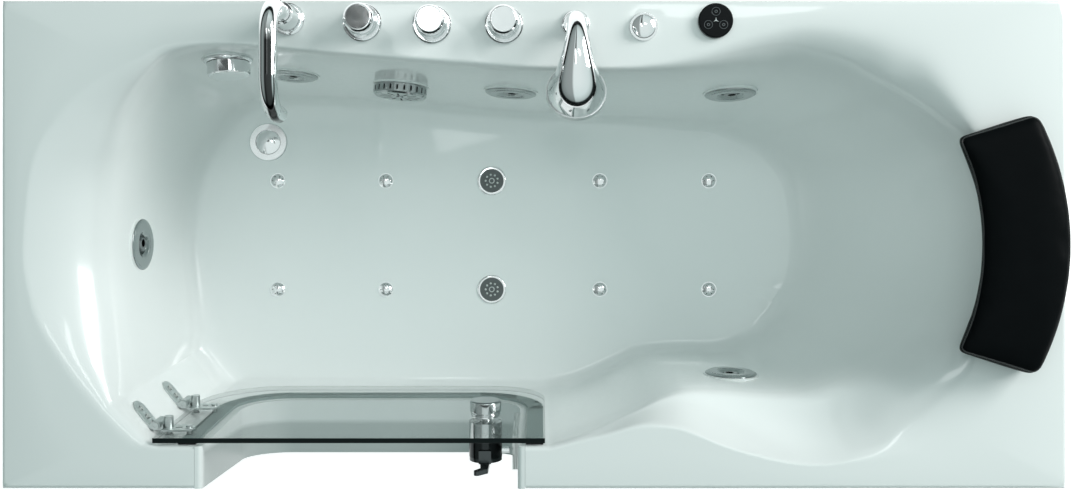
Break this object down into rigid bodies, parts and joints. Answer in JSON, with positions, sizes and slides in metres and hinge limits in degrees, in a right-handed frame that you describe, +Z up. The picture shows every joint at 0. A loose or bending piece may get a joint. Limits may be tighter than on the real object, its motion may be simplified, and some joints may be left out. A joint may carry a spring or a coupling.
{
  "type": "walk-in bathtub",
  "caption": "Walk-in hydromassage bathtub with an inward-opening glass door, deck taps, hand shower, wall and floor jets, pop-up waste and a lift-off neck pillow.",
  "frame": {"origin": "centre of the footprint, on the floor", "axes": "+X along the tub towards the pillow end, +Y from the door side to the tap side, +Z up"},
  "size_m": [1.7, 0.78, 0.7555],
  "materials": {
    "acrylic": "high gloss moulded acrylic",
    "frame_steel": "satin galvanised",
    "zinc_steel": "zinc plated",
    "black_rubber": "matte",
    "plywood": "raw",
    "door_glass": "clear, toughened, polished edge",
    "chrome": "polished",
    "dark_metal": "dark polished",
    "strip_aluminium": "ribbed, satin",
    "satin_steel": "satin",
    "black_plastic": "semi gloss",
    "face_grey": "semi matte",
    "valve_brass": "cast",
    "pipe_grey": "matte",
    "pipe_white": "matte",
    "motor_black": "satin",
    "box_white": "matte",
    "pillow_black": "soft black polyurethane skin"
  },
  "bodies": {
    "tub": {"tub_shell": "acrylic", "doorway_reveal": "acrylic", "front_apron": "acrylic", "end_panels": "acrylic", "long_rails": "frame_steel", "end_rails": "frame_steel", "joists": "frame_steel", "posts": "frame_steel", "foot_studs": "zinc_steel", "screws": "zinc_steel", "foot_pads": "black_rubber", "door_seal": "black_rubber", "floor_board": "plywood", "hinge_wall_leaves": "chrome", "deck_rings": "chrome", "bath_spout": "chrome", "shower_holder": "chrome", "drain_flange": "chrome", "overflow_flange": "chrome", "jet_rings": "chrome", "suction_cap": "chrome", "air_jets": "chrome", "bubbler_rings": "chrome", "strike_strip": "strip_aluminium", "spout_outlet": "satin_steel", "touch_pad": "black_plastic", "lock_nuts": "black_plastic", "bubbler_faces": "face_grey", "valve_bodies": "valve_brass", "waste_pipe": "pipe_grey", "jet_bodies": "pipe_grey", "water_pipes": "pipe_white", "suction_pipe": "pipe_white", "air_pipes": "pipe_white", "circulation_pump": "motor_black", "air_blower": "motor_black", "control_box": "box_white"},
    "door": {"door_glass": "door_glass", "hinge_glass_leaves": "chrome", "hinge_clamps": "chrome", "latch_housing": "chrome", "latch_rose": "chrome"},
    "latch_handle": {"latch_knob": "chrome", "latch_lever": "dark_metal"},
    "bolt": {"latch_bolt": "chrome"},
    "hot_tap": {"hot_knob": "chrome"},
    "cold_tap": {"cold_knob": "chrome"},
    "diverter": {"diverter_knob": "chrome"},
    "air_switch": {"air_button": "chrome"},
    "hand_shower": {"shower_handset": "chrome", "shower_face": "black_plastic"},
    "overflow_control": {"overflow_dial": "chrome"},
    "plug": {"drain_plug": "chrome"},
    "nozzle_rear_right": {"jet_nozzle_rear_right": "dark_metal"},
    "nozzle_rear_mid": {"jet_nozzle_rear_mid": "dark_metal"},
    "nozzle_rear_left": {"jet_nozzle_rear_left": "dark_metal"},
    "nozzle_foot": {"jet_nozzle_foot": "dark_metal"},
    "nozzle_front": {"jet_nozzle_front": "dark_metal"},
    "headrest": {"pillow": "pillow_black", "pillow_pegs": "pillow_black"}
  },
  "joints": [
    {"name": "door_swing", "type": "hinge", "parent": "tub", "child": "door", "pos_m": [-0.617, -0.29335, 0.54248], "axis": [0, -0.0958, 0.9954], "range_deg": [0, 50]},
    {"name": "latch_turn", "type": "hinge", "parent": "door", "child": "latch_handle", "pos_m": [-0.084, -0.30762, 0.45069], "axis": [0, -0.9954, -0.0958], "range_deg": [0, 90]},
    {"name": "bolt_slide", "type": "slide", "parent": "door", "child": "bolt", "axis": [1, 0, 0], "range_m": [0, 0.0125]},
    {"name": "hot_turn", "type": "hinge", "parent": "tub", "child": "hot_tap", "pos_m": [-0.274, 0.354, 0.6058], "axis": [0, 0, 1], "range_deg": [0, 90]},
    {"name": "cold_turn", "type": "hinge", "parent": "tub", "child": "cold_tap", "pos_m": [-0.163, 0.351, 0.6058], "axis": [0, 0, 1], "range_deg": [-90, 0]},
    {"name": "diverter_turn", "type": "hinge", "parent": "tub", "child": "diverter", "pos_m": [-0.048, 0.351, 0.6058], "axis": [0, 0, 1], "range_deg": [-45, 45]},
    {"name": "button_press", "type": "slide", "parent": "tub", "child": "air_switch", "axis": [0, 0, -1], "range_m": [0, 0.003], "stiffness_N_per_m": 400},
    {"name": "shower_lift", "type": "slide", "parent": "tub", "child": "hand_shower", "axis": [0, 0, 1], "range_m": [0, 0.06]},
    {"name": "dial_turn", "type": "hinge", "parent": "tub", "child": "overflow_control", "pos_m": [-0.509, 0.30992, 0.52], "axis": [0.0679, -0.9952, 0.0699], "range_deg": [0, 90]},
    {"name": "plug_lift", "type": "slide", "parent": "tub", "child": "plug", "axis": [0, 0, 1], "range_m": [0, 0.008]},
    {"name": "nozzle_rear_right_turn", "type": "hinge", "parent": "tub", "child": "nozzle_rear_right", "pos_m": [0.345, 0.26798, 0.4], "axis": [0.0259, -0.9932, 0.1137], "range_deg": [-45, 45]},
    {"name": "nozzle_rear_mid_turn", "type": "hinge", "parent": "tub", "child": "nozzle_rear_mid", "pos_m": [-0.042, 0.27032, 0.4], "axis": [-0.0653, -0.9964, 0.0536], "range_deg": [-45, 45]},
    {"name": "nozzle_rear_left_turn", "type": "hinge", "parent": "tub", "child": "nozzle_rear_left", "pos_m": [-0.427, 0.30035, 0.4], "axis": [-0.0453, -0.9972, 0.059], "range_deg": [-45, 45]},
    {"name": "nozzle_foot_turn", "type": "hinge", "parent": "tub", "child": "nozzle_foot", "pos_m": [-0.69399, 0, 0.4], "axis": [0.9973, -0.0076, 0.0727], "range_deg": [-45, 45]},
    {"name": "nozzle_front_turn", "type": "hinge", "parent": "tub", "child": "nozzle_front", "pos_m": [0.346, -0.23008, 0.4], "axis": [0.0224, 0.9948, 0.0989], "range_deg": [-45, 45]},
    {"name": "pillow_lift", "type": "slide", "parent": "tub", "child": "headrest", "axis": [0, 0, 1], "range_m": [0, 0.05]}
  ],
  "couplings": [
    {"joint": "bolt_slide", "follows": "latch_turn", "m_per_rad": 0.0079577},
    {"joint": "plug_lift", "follows": "dial_turn", "m_per_rad": 0.0050929}
  ]
}
